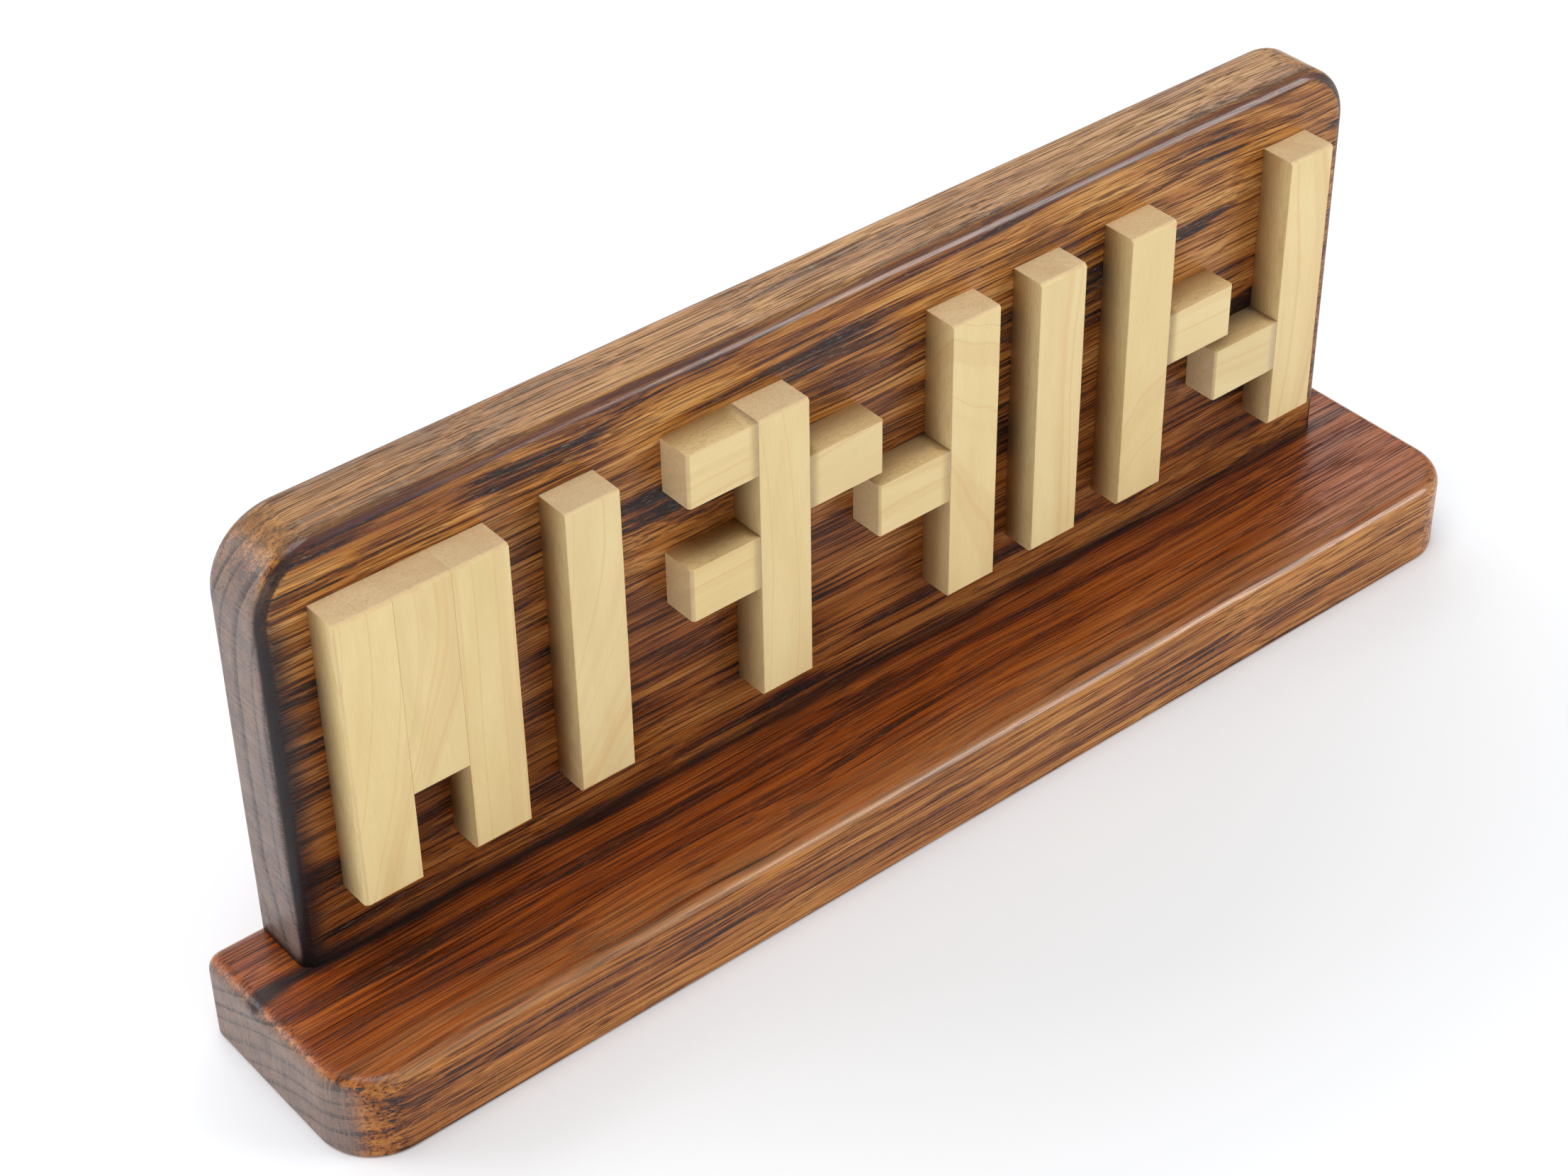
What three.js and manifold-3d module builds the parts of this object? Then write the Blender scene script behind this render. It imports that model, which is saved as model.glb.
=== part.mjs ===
// A wooden desk-top figure puzzle: seven pale maple figures glued in a row on the front of an
// upright oak board, which stands on the back of an oak base. Everything is glued or screwed.
//
// Frame: millimetres, +X along the length to the right, +Y to the back, +Z up. The origin is the
// centre of the base's underside.
import * as THREE from "three";
import { mergeVertices } from "three/addons/utils/BufferGeometryUtils.js";
import Module from "manifold-3d";

const wasm = await Module();
wasm.setup();

// ---- Driving dimensions, in millimetres ----

// Maple sticks
const stickWidth = 12.7;
const stickThickness = 8.4;
const stickArrisRadius = 0.8; // on a stick's long arrises
const stickEndEase = 0.6; // on the edges of its two ends
const barLength = 68;
const shortStripLength = 47;
const longArmLength = 19.2;
const shortArmLength = 17.3;
const armGap = 14.65; // between two arms on one side of a bar
const armClearance = 3.3; // between the arms of two figures that reach past each other
const upperArmDrop = 14; // from a bar's top to the right arm of the third figure
const middleArmDrop = 24; // from a bar's top to the right arm of the sixth figure

// Spaces between one figure's last bar and the next figure's first bar
const closeSpace = 12.6;
const doubleArmSpace = 33.1;
const wideSpace = 37.3;
const narrowSpace = 11.1;
const mediumSpace = 13.1;
const lastSpace = 34.5;

// Upright board
const boardThickness = 17.8;
const boardCornerRadius = 15; // top corners
const boardLeftMargin = 10.5;
const boardRightMargin = 13.4;
const boardTopMargin = 13.3;
const boardFootMargin = 16.3;

// Base
const baseThickness = 19.8;
const baseShelf = 34.6; // depth in front of the board
const baseOverhang = 13; // past each end of the board
const baseFrontCornerRadius = 13.2;
const baseBackCornerRadius = 3.8;
const baseBottomEase = 0.8;

// Shared by the base and the board
const edgeRoundOver = 3.2;
const glueLine = 0.05;

// Countersunk wood screws, up through the base into the board's foot
const screwShankRadius = 2.1;
const screwHeadRadius = 4.1;
const screwHeadRim = 0.4;
const screwBite = 18; // length in the board
const screwPointLength = 4;
const screwHeadRecess = 0.6; // from the base's underside to the head
const screwClearance = 0.3;
const screwEndInset = 40; // from each end of the board
const recessWidth = 1.1;
const recessSpan = 4.6;
const recessDepth = 2;

// Fineness of the round stretches
const cornerSegments = 10;
const roundOverSegments = 5;
const arrisSegments = 2;
const easeSegments = 1;
const latheSegments = 24;

// ---- Sizes worked out from those ----

const boardHeight = boardFootMargin + barLength + boardTopMargin;
const boardFootZ = baseThickness + glueLine;
const barTopZ = boardFootZ + boardHeight - boardTopMargin;
const baseDepth = baseShelf + boardThickness;
const boardBackY = baseDepth / 2;
const boardFrontY = boardBackY - boardThickness;
const boardMiddleY = boardBackY - boardThickness / 2;
const stickFrontY = boardFrontY - glueLine - stickThickness;

// ---- The seven figures, left to right ----
// strips: the lengths of the upright sticks, each with its top on the common line.
// leftArms and rightArms: name, length and drop, from the bar's top to the arm's top edge.
// space: from this figure's last strip to the next figure's first one.

const lowerArmDrop = stickWidth + armGap;
const pastUpperArm = upperArmDrop + stickWidth + armClearance;
const pastMiddleArm = middleArmDrop + stickWidth + armClearance;

const figures = [
  {
    name: "block1",
    strips: [
      { name: "left_strip", length: barLength },
      { name: "middle_strip", length: shortStripLength },
      { name: "right_strip", length: barLength },
    ],
    space: closeSpace,
  },
  {
    name: "block2",
    strips: [{ name: "bar", length: barLength }],
    space: doubleArmSpace,
  },
  {
    name: "block3",
    strips: [{ name: "bar", length: barLength }],
    leftArms: [
      { name: "upper_left_arm", length: shortArmLength, drop: 0 },
      { name: "lower_left_arm", length: shortArmLength, drop: lowerArmDrop },
    ],
    rightArms: [{ name: "right_arm", length: longArmLength, drop: upperArmDrop }],
    space: wideSpace,
  },
  {
    name: "block4",
    strips: [{ name: "bar", length: barLength }],
    leftArms: [{ name: "left_arm", length: longArmLength, drop: pastUpperArm }],
    space: narrowSpace,
  },
  {
    name: "block5",
    strips: [{ name: "bar", length: barLength }],
    space: mediumSpace,
  },
  {
    name: "block6",
    strips: [{ name: "bar", length: barLength }],
    rightArms: [{ name: "right_arm", length: longArmLength, drop: middleArmDrop }],
    space: lastSpace,
  },
  {
    name: "block7",
    strips: [{ name: "bar", length: barLength }],
    leftArms: [{ name: "left_arm", length: longArmLength, drop: pastMiddleArm }],
    space: 0,
  },
];

const widthOf = (figure) => figure.strips.length * (stickWidth + glueLine) - glueLine;
const rowLength = figures.reduce((sum, figure) => sum + widthOf(figure) + figure.space, 0);
const boardLength = boardLeftMargin + rowLength + boardRightMargin;
const baseLength = boardLength + 2 * baseOverhang;

// ---- Materials ----

const stainedOak = (name, color) =>
  new THREE.MeshStandardMaterial({ name, color, roughness: 0.35, metalness: 0 });
const oakBoard = stainedOak("oak_board", 0x6b3f1d);
const oakBase = stainedOak("oak_base", 0x7a451c);
const maple = new THREE.MeshStandardMaterial({
  name: "maple",
  color: 0xe3ce9b,
  roughness: 0.5,
  metalness: 0,
});
const steel = new THREE.MeshStandardMaterial({
  name: "screw_steel",
  color: 0xb9a878,
  roughness: 0.35,
  metalness: 1,
});

// ---- Solids ----

// A closed geometry as a solid that can be joined and cut.
function solidOf(geometry) {
  const bare = geometry.clone();
  bare.deleteAttribute("normal");
  bare.deleteAttribute("uv");
  const merged = mergeVertices(bare, 1e-4);
  return new wasm.Manifold(
    new wasm.Mesh({
      numProp: 3,
      vertProperties: merged.attributes.position.array,
      triVerts: new Uint32Array(merged.index.array),
    }),
  );
}

// A solid as a geometry.
function geometryOf(solid) {
  const mesh = solid.getMesh();
  const geometry = new THREE.BufferGeometry();
  geometry.setAttribute("position", new THREE.BufferAttribute(mesh.vertProperties, 3));
  geometry.setIndex(new THREE.BufferAttribute(mesh.triVerts, 1));
  geometry.computeVertexNormals();
  return geometry;
}

// A rectangle with its own radius at the two lower and the two upper corners.
function roundedRectangle(x0, x1, y0, y1, lowerRadius, upperRadius) {
  const shape = new THREE.Shape();
  shape.absarc(x1 - lowerRadius, y0 + lowerRadius, lowerRadius, -Math.PI / 2, 0);
  shape.absarc(x1 - upperRadius, y1 - upperRadius, upperRadius, 0, Math.PI / 2);
  shape.absarc(x0 + upperRadius, y1 - upperRadius, upperRadius, Math.PI / 2, Math.PI);
  shape.absarc(x0 + lowerRadius, y0 + lowerRadius, lowerRadius, Math.PI, 1.5 * Math.PI);
  return shape;
}

// A slab of a shape, from 0 to height, with its edges at both faces rounded by radius.
function roundedSlab(shape, height, radius, segments, curveSegments) {
  const slab = new THREE.ExtrudeGeometry(shape, {
    depth: height - 2 * radius,
    bevelEnabled: true,
    bevelThickness: radius,
    bevelSize: radius,
    bevelOffset: -radius,
    bevelSegments: segments,
    curveSegments,
  });
  return slab.translate(0, 0, radius);
}

// A box from one corner to the other.
function boxBetween(x0, x1, y0, y1, z0, z1) {
  const box = new THREE.BoxGeometry(x1 - x0, y1 - y0, z1 - z0);
  return box.translate((x0 + x1) / 2, (y0 + y1) / 2, (z0 + z1) / 2);
}

// A solid of revolution about +Z, from a profile of [radius, height] points.
function turned(profile) {
  const points = profile.map(([radius, height]) => new THREE.Vector2(radius, height));
  return new THREE.LatheGeometry(points, latheSegments).rotateX(Math.PI / 2);
}

// ---- Screws and their holes ----

const screwXs = {
  screw_left: -boardLength / 2 + screwEndInset,
  screw_middle: 0,
  screw_right: boardLength / 2 - screwEndInset,
};
const screwTopZ = boardFootZ + screwBite;
const screwConeHeight = screwHeadRadius - screwShankRadius;

function screwGeometry() {
  const bottom = screwHeadRecess;
  const rim = bottom + screwHeadRim;
  const body = turned([
    [0, bottom],
    [screwHeadRadius, bottom],
    [screwHeadRadius, rim],
    [screwShankRadius, rim + screwConeHeight],
    [screwShankRadius, screwTopZ - screwPointLength],
    [0, screwTopZ],
  ]);
  const half = recessSpan / 2;
  const thin = recessWidth / 2;
  const floor = bottom + recessDepth;
  const slotX = boxBetween(-half, half, -thin, thin, 0, floor);
  const slotY = boxBetween(-thin, thin, -half, half, 0, floor);
  return geometryOf(solidOf(body).subtract(solidOf(slotX)).subtract(solidOf(slotY)));
}

// The space for one screw: a countersink, a through hole and a pilot hole in the board's foot.
function screwHole(x) {
  const headRadius = screwHeadRadius + screwClearance;
  const shankRadius = screwShankRadius + screwClearance;
  const rim = screwHeadRecess + screwHeadRim;
  const hole = turned([
    [0, -1],
    [headRadius, -1],
    [headRadius, rim],
    [shankRadius, rim + screwConeHeight],
    [shankRadius, screwTopZ - screwPointLength + screwClearance],
    [0, screwTopZ + 2 * screwClearance],
  ]);
  return solidOf(hole.translate(x, boardMiddleY, 0));
}

const cutScrewHoles = (solid) =>
  Object.values(screwXs).reduce((cut, x) => cut.subtract(screwHole(x)), solid);

// ---- Base and board ----

function baseGeometry() {
  const outline = roundedRectangle(
    -baseLength / 2,
    baseLength / 2,
    -baseDepth / 2,
    baseDepth / 2,
    baseFrontCornerRadius,
    baseBackCornerRadius,
  );
  // The upper slab carries the round-over of the top edge, the lower one the ease underneath.
  const spare = 2 * edgeRoundOver;
  const height = baseThickness + spare;
  const upper = roundedSlab(outline, height, edgeRoundOver, roundOverSegments, cornerSegments);
  const lower = roundedSlab(outline, height, baseBottomEase, easeSegments, cornerSegments);
  upper.translate(0, 0, -spare);
  return geometryOf(cutScrewHoles(solidOf(upper).intersect(solidOf(lower))));
}

function boardGeometry() {
  // The outline runs on below the foot, so that the foot is cut square through its round-over.
  const spare = 2 * boardCornerRadius;
  const outline = roundedRectangle(
    -boardLength / 2,
    boardLength / 2,
    -spare,
    boardHeight,
    boardCornerRadius,
    boardCornerRadius,
  );
  const slab = roundedSlab(
    outline,
    boardThickness,
    edgeRoundOver,
    roundOverSegments,
    cornerSegments,
  );
  slab.rotateX(Math.PI / 2);
  slab.translate(0, boardBackY, boardFootZ);
  const below = boxBetween(
    -boardLength,
    boardLength,
    -baseDepth,
    baseDepth,
    boardFootZ - 2 * spare,
    boardFootZ,
  );
  return geometryOf(cutScrewHoles(solidOf(slab).subtract(solidOf(below))));
}

// ---- Sticks ----

// One maple stick with its grain along +Z: width along X, thickness along Y.
function stickGeometry(length) {
  const section = roundedRectangle(
    0,
    stickWidth,
    0,
    stickThickness,
    stickArrisRadius,
    stickArrisRadius,
  );
  return roundedSlab(section, length, stickEndEase, easeSegments, arrisSegments);
}

function namedMesh(name, geometry, material) {
  const mesh = new THREE.Mesh(geometry, material.clone());
  mesh.name = name;
  return mesh;
}

// A figure's own frame: the origin is the top left front corner of its first strip.
function figureGroup(figure) {
  const group = new THREE.Group();
  figure.strips.forEach(({ name, length }, i) => {
    const strip = namedMesh(`${figure.name}_${name}`, stickGeometry(length), maple);
    strip.position.set(i * (stickWidth + glueLine), 0, -length);
    group.add(strip);
  });
  const addArm = ({ name, length, drop }, x) => {
    const arm = namedMesh(`${figure.name}_${name}`, stickGeometry(length), maple);
    arm.rotation.y = Math.PI / 2; // the grain runs along +X
    arm.position.set(x, 0, -drop);
    group.add(arm);
  };
  for (const arm of figure.leftArms ?? []) addArm(arm, -glueLine - arm.length);
  for (const arm of figure.rightArms ?? []) addArm(arm, widthOf(figure) + glueLine);
  return group;
}

// ---- The assembly ----

const puzzle = new THREE.Group();
puzzle.add(namedMesh("base", baseGeometry(), oakBase));
puzzle.add(namedMesh("back_board", boardGeometry(), oakBoard));

let figureX = -boardLength / 2 + boardLeftMargin;
for (const figure of figures) {
  const group = figureGroup(figure);
  group.position.set(figureX, stickFrontY, barTopZ);
  puzzle.add(group);
  figureX += widthOf(figure) + figure.space;
}

for (const [name, x] of Object.entries(screwXs)) {
  const screw = namedMesh(name, screwGeometry(), steel);
  screw.position.set(x, boardMiddleY, 0);
  puzzle.add(screw);
}

export default puzzle;
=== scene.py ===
"""The looks of a wooden figure puzzle: maple figures on a stained oak board and base.

Lengths are in metres unless a name says otherwise. +X is to the right, +Y to the back, +Z up.
"""

import math
import random
from dataclasses import dataclass
from types import SimpleNamespace

import bmesh
import bpy
from mathutils import Matrix, Vector, noise


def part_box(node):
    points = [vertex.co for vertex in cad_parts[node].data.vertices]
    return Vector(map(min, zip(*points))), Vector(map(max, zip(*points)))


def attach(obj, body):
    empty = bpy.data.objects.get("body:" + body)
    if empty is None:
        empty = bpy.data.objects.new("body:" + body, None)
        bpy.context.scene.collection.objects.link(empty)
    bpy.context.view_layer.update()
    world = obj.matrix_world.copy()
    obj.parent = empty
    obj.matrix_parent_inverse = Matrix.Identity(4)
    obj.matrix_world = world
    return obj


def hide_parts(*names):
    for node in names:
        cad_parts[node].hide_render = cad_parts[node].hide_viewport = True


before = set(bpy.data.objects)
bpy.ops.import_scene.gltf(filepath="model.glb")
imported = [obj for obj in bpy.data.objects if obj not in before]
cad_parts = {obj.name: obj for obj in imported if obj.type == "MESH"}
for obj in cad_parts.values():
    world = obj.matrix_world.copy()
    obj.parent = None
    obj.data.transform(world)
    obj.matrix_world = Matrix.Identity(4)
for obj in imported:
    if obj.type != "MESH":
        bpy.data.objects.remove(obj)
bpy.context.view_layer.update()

MM = 0.001


# ---- Camera, light and floor ----

IMAGE_WIDTH = 2212
SENSOR_WIDTH = 36.0
FOCAL_PIXELS = 4522.6
CAMERA_PLACE = Vector((-0.34326, -0.39255, 0.45586))
CAMERA_YAW = math.radians(38.824)
CAMERA_PITCH = math.radians(38.067)
CAMERA_ROLL = math.radians(-1.053)
FLOOR_SIZE = 8.0


def add_camera():
    forward = Vector((
        math.sin(CAMERA_YAW) * math.cos(CAMERA_PITCH),
        math.cos(CAMERA_YAW) * math.cos(CAMERA_PITCH),
        -math.sin(CAMERA_PITCH),
    ))
    level = Vector((math.cos(CAMERA_YAW), -math.sin(CAMERA_YAW), 0.0))
    upright = level.cross(forward)
    right = level * math.cos(CAMERA_ROLL) + upright * math.sin(CAMERA_ROLL)
    up = upright * math.cos(CAMERA_ROLL) - level * math.sin(CAMERA_ROLL)
    data = bpy.data.cameras.new("camera")
    data.sensor_width = SENSOR_WIDTH
    data.lens = FOCAL_PIXELS * SENSOR_WIDTH / IMAGE_WIDTH
    camera = bpy.data.objects.new("camera", data)
    bpy.context.scene.collection.objects.link(camera)
    turn = Matrix((right, up, -forward)).transposed().to_4x4()
    camera.matrix_world = Matrix.Translation(CAMERA_PLACE) @ turn
    bpy.context.scene.camera = camera


def add_area_light(name, place, aim, size, power, colour):
    data = bpy.data.lights.new(name, "AREA")
    data.shape = "RECTANGLE"
    data.size, data.size_y = size
    data.energy = power
    data.color = colour
    light = bpy.data.objects.new(name, data)
    bpy.context.scene.collection.objects.link(light)
    light.location = place
    light.rotation_euler = (Vector(aim) - Vector(place)).to_track_quat("-Z", "Y").to_euler()


def add_floor():
    mesh = bpy.data.meshes.new("floor")
    half = FLOOR_SIZE / 2
    square = [(-half, -half, 0), (half, -half, 0), (half, half, 0), (-half, half, 0)]
    mesh.from_pydata(square, [], [(0, 1, 2, 3)])
    floor = bpy.data.objects.new("floor", mesh)
    bpy.context.scene.collection.objects.link(floor)
    paint = bpy.data.materials.new("floor_white")
    paint.use_nodes = True
    shader = paint.node_tree.nodes["Principled BSDF"]
    shader.inputs["Base Color"].default_value = (0.885, 0.90, 0.92, 1)
    shader.inputs["Roughness"].default_value = 0.7
    shader.inputs["Specular IOR Level"].default_value = 0.2
    mesh.materials.append(paint)


def add_studio():
    scene = bpy.context.scene
    scene.view_settings.view_transform = "Standard"
    world = bpy.data.worlds.new("studio")
    world.use_nodes = True
    background = world.node_tree.nodes["Background"]
    background.inputs["Color"].default_value = (0.95, 0.975, 1.0, 1)
    background.inputs["Strength"].default_value = 0.46
    scene.world = world
    middle = (0, 0, 0.05)
    add_area_light("key", (1.04, -0.99, 0.84), middle, (0.8, 0.7), 10.4, (1, 0.99, 0.97))
    add_area_light("back", (0.55, 1.5, 1.0), middle, (2.4, 1.0), 17, (1, 1, 1))
    add_area_light("left", (-1.05, 1.08, 0.82), middle, (0.9, 0.7), 11, (1, 0.98, 0.98))
    add_area_light("fill", (-1.3, -0.75, 0.4), middle, (1.0, 0.8), 4.6, (1, 1, 1))
    add_area_light("top", (-0.25, -0.1, 1.25), middle, (0.7, 0.6), 5.2, (1, 0.97, 0.97))
    add_floor()


# ---- Shader building ----

class Graph:
    """Adds and joins the nodes of one material."""

    def __init__(self, name):
        self.material = bpy.data.materials.new(name)
        self.material.use_nodes = True
        self.tree = self.material.node_tree
        self.shader = self.tree.nodes["Principled BSDF"]

    def put(self, socket, value):
        if isinstance(value, bpy.types.NodeSocket):
            self.tree.links.new(value, socket)
        elif isinstance(value, (tuple, list)) and len(value) == 3 and socket.type == "RGBA":
            socket.default_value = (*value, 1)
        else:
            socket.default_value = value

    def add(self, kind, **inputs):
        node = self.tree.nodes.new(kind)
        for name, value in inputs.items():
            self.put(node.inputs[name], value)
        return node

    def maths(self, operation, a, b=0.0):
        node = self.tree.nodes.new("ShaderNodeMath")
        node.operation = operation
        self.put(node.inputs[0], a)
        self.put(node.inputs[1], b)
        return node.outputs[0]

    def vector(self, operation, a, b=(0, 0, 0)):
        node = self.tree.nodes.new("ShaderNodeVectorMath")
        node.operation = operation
        self.put(node.inputs[0], a)
        self.put(node.inputs[1], b)
        return node.outputs["Value" if operation in ("LENGTH", "DOT_PRODUCT") else "Vector"]

    def noise(self, place, detail=2.0, roughness=0.5, output="Fac"):
        node = self.add("ShaderNodeTexNoise", Vector=place, Scale=1.0, Detail=detail)
        node.inputs["Roughness"].default_value = roughness
        return node.outputs[output]

    def noise_along(self, w, detail=2.0, roughness=0.5):
        node = self.tree.nodes.new("ShaderNodeTexNoise")
        node.noise_dimensions = "1D"
        self.put(node.inputs["W"], w)
        node.inputs["Scale"].default_value = 1.0
        node.inputs["Detail"].default_value = detail
        node.inputs["Roughness"].default_value = roughness
        return node.outputs["Fac"]

    def span(self, value, low, high, to_low=0.0, to_high=1.0):
        """value from low..high to to_low..to_high, held at both ends, with soft corners."""
        node = self.tree.nodes.new("ShaderNodeMapRange")
        node.interpolation_type = "SMOOTHSTEP"
        for name, number in (
            ("Value", value),
            ("From Min", low),
            ("From Max", high),
            ("To Min", to_low),
            ("To Max", to_high),
        ):
            self.put(node.inputs[name], number)
        return node.outputs["Result"]

    def ramp(self, value, stops):
        node = self.add("ShaderNodeValToRGB", Fac=value)
        elements = node.color_ramp.elements
        while len(elements) < len(stops):
            elements.new(0.5)
        for element, (place, colour) in zip(elements, stops):
            element.position = place
            element.color = (*colour, 1)
        return node.outputs["Color"]

    def mix(self, share, a, b, kind="MIX"):
        node = self.tree.nodes.new("ShaderNodeMix")
        node.data_type = "RGBA"
        node.blend_type = kind
        self.put(node.inputs[0], share)
        self.put(node.inputs[6], a)
        self.put(node.inputs[7], b)
        return node.outputs[2]

    def place_mm(self):
        """The point's place in the row frame, in millimetres."""
        coordinates = self.tree.nodes.new("ShaderNodeTexCoord").outputs["Object"]
        scaled = self.vector("SCALE", coordinates)
        scaled.node.inputs["Scale"].default_value = 1 / MM
        return scaled

    def stretched(self, place, sizes):
        """place divided by a feature size along each axis."""
        return self.vector("DIVIDE", place, sizes)

    def facing(self, axis):
        """1 where the surface faces along the axis, either way, and 0 where it is square to it."""
        normal = self.tree.nodes.new("ShaderNodeTexCoord").outputs["Normal"]
        return self.maths("ABSOLUTE", self.vector("DOT_PRODUCT", normal, axis))

    def edges(self):
        """1 on round-overs and arrises, and 0 on flat faces."""
        normal = self.tree.nodes.new("ShaderNodeTexCoord").outputs["Normal"]
        parts = self.add("ShaderNodeSeparateXYZ", Vector=self.vector("ABSOLUTE", normal))
        largest = self.maths("MAXIMUM", parts.outputs["X"], parts.outputs["Y"])
        largest = self.maths("MAXIMUM", largest, parts.outputs["Z"])
        return self.span(largest, 0.985, 0.80)

    def bump(self, height, distance, strength, below=None):
        node = self.add("ShaderNodeBump", Height=height)
        node.inputs["Distance"].default_value = distance
        node.inputs["Strength"].default_value = strength
        if below is not None:
            self.put(node.inputs["Normal"], below)
        return node.outputs["Normal"]


# ---- Stained oak ----

# Where the board's face meets the base's top, in millimetres
JOINT = (0, 8.4, 19.8)

# From the palest wood to the darkest, by how deep the stain is
STAINED_OAK = (
    (0.08, (0.440, 0.208, 0.078)),
    (0.30, (0.355, 0.138, 0.036)),
    (0.52, (0.225, 0.066, 0.012)),
    (0.68, (0.080, 0.020, 0.007)),
    (0.86, (0.009, 0.006, 0.009)),
)
EVEN_TOP = (0.400, 0.160, 0.046)
PORE = (0.030, 0.009, 0.007)
# The grey of painted glints in pores
PORE_GLINT = (0.42, 0.36, 0.33)
RAY = (0.52, 0.34, 0.20)
# The grey of a painted sheen on the end grain
END_SHEEN = (0.162, 0.133, 0.125)
END_RING = (0.056, 0.042, 0.042)
END_PORE = (0.040, 0.028, 0.028)
END_WEAVE = (0.300, 0.225, 0.185)
# Painted shade, with stain, in the crease where the board meets the base
JOINT_STAIN_AND_SHADE = (0.016, 0.007, 0.006)
# Stain with a painted dark reflection, on the front round-overs
SEAM_STAIN_AND_REFLECTION = (0.012, 0.007, 0.008)
CREST_STAIN = (0.085, 0.016, 0.010)
RUBBED = (0.470, 0.240, 0.090)


@dataclass
class Oak:
    """How one oak board was cut, in millimetres."""

    shift: tuple  # moves the board to its own stretch of grain
    heart: tuple  # the tree's heart line, in Y and Z of the moved board
    ring_width: float
    wander: float
    ray_size: tuple


@dataclass
class StainAndShade:
    """How the stain took on one board, and the light and shade painted over it."""

    early: float  # how much the early wood darkens it,
    bands: float  # and long bands,
    patches: float  # and patches
    depth: float  # its mean depth, from 0 to 1
    ends: tuple  # added to its depth at the left and at the right, partly stain and partly painted light
    low_tint: tuple  # multiplies the colour at the foot, as stain and painted shade,
    high_tint: tuple  # at the top, as stain and painted light,
    top_tint: tuple  # and once more on faces that face up, as stain and painted shade
    top_even: float  # how even the faces that face up are
    rim: float  # how dark the stain, and the painted dark reflection beside the ends, is along the front round-over
    rubbed: float  # how far the round-overs are rubbed back to a paler brown


def oak_structure(g, cut):
    """The rings, streaks and fibres of the wood, with the places and faces they are seen on."""
    here = g.place_mm()
    place = g.vector("ADD", here, cut.shift)

    # The grain wanders slowly along the board.
    wander = g.noise(g.stretched(place, (85, 34, 34)), 2, output="Color")
    wander = g.vector("SUBTRACT", wander, (0.5, 0.5, 0.5))
    wander = g.vector("MULTIPLY", wander, (0, cut.wander, cut.wander))
    wavy = g.vector("ADD", place, wander)

    # Growth rings round the heart. Each starts with a sharp band of open early wood.
    flat = g.vector("MULTIPLY", wavy, (0, 1, 1))
    radius = g.vector("LENGTH", g.vector("SUBTRACT", flat, (0, *cut.heart)))
    rings = g.maths("DIVIDE", radius, cut.ring_width)
    rings = g.maths("ADD", rings, g.noise_along(g.maths("DIVIDE", radius, 11), 1))
    phase = g.maths("FRACT", rings)
    early = g.maths("MULTIPLY", g.span(phase, 0.05, 0.42, 1.0, 0.0), g.span(phase, 0.0, 0.06))
    vigour = g.noise_along(g.maths("MULTIPLY", rings, 0.61), 1)
    early = g.maths("MULTIPLY", early, g.span(vigour, 0.3, 0.62, 0.25, 1.0))

    end_on = g.facing((1, 0, 0))
    not_end = g.span(end_on, 0.15, 0.5, 1.0, 0.0)
    return SimpleNamespace(
        here=here,
        axes=g.add("ShaderNodeSeparateXYZ", Vector=here).outputs,
        place=place,
        wavy=wavy,
        early=early,
        streaks=g.noise(g.stretched(wavy, (115, 1.05, 1.05)), 3, 0.66),
        fibres=g.noise(g.stretched(wavy, (50, 0.3, 0.3)), 2, 0.62),
        end_on=end_on,
        end=g.span(end_on, 0.55, 0.9),
        not_end=not_end,
        up=g.span(g.facing((0, 0, 1)), 0.6, 0.95),
        rounded=g.maths("MULTIPLY", g.edges(), not_end),
    )


def stain_depth(g, wood, stain_and_shade):
    """The stain lies deep in early wood and in long feathered streaks, and changes from left to
    right, partly as painted light.
    """
    bands = g.noise(g.stretched(wood.wavy, (150, 3.4, 3.4)))
    patches = g.noise(g.stretched(wood.wavy, (40, 6, 6)))
    lines = g.noise(g.stretched(wood.wavy, (55, 0.6, 0.6)), 1)
    shares = (
        (wood.streaks, 1.0),
        (bands, stain_and_shade.bands),
        (patches, stain_and_shade.patches),
        (wood.fibres, 0.6),
    )
    depth = g.maths("MULTIPLY", wood.early, stain_and_shade.early)
    for pattern, share in shares:
        depth = g.maths("ADD", depth, g.maths("MULTIPLY", pattern, share))
    # A noise averages 0.5 and the early wood 0.2, so this brings the mean to stain_and_shade.depth.
    average = 0.5 * sum(share for _, share in shares) + 0.2 * stain_and_shade.early
    depth = g.maths("ADD", depth, stain_and_shade.depth - average)
    depth = g.maths("ADD", depth, g.span(lines, 0.55, 0.63, -0.04, 0.26))
    # A ramp from left to right, partly stain and partly painted light that is stronger to the right
    return g.maths("ADD", depth, g.span(wood.axes["X"], -140, 140, *stain_and_shade.ends))


def oak_pores(g, wood):
    """The long thin vessels, crowded in early wood, and the same with the finest hairs."""
    vessels = g.noise(g.stretched(wood.wavy, (11, 0.32, 0.32)), 1, 0.4)
    pores = g.maths("ADD", vessels, g.maths("MULTIPLY", wood.early, 0.13))
    pores = g.span(pores, 0.62, 0.68)
    hairs = g.noise(g.stretched(wood.wavy, (70, 0.3, 0.3)), 1)
    hairs = g.maths("MULTIPLY", g.span(hairs, 0.55, 0.63, 0.0, 0.95), wood.not_end)
    holes = g.maths("MAXIMUM", pores, hairs)
    holes = g.maths("MULTIPLY", holes, g.span(wood.end_on, 0.25, 0.65, 1.0, 0.35))
    return pores, holes


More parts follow.
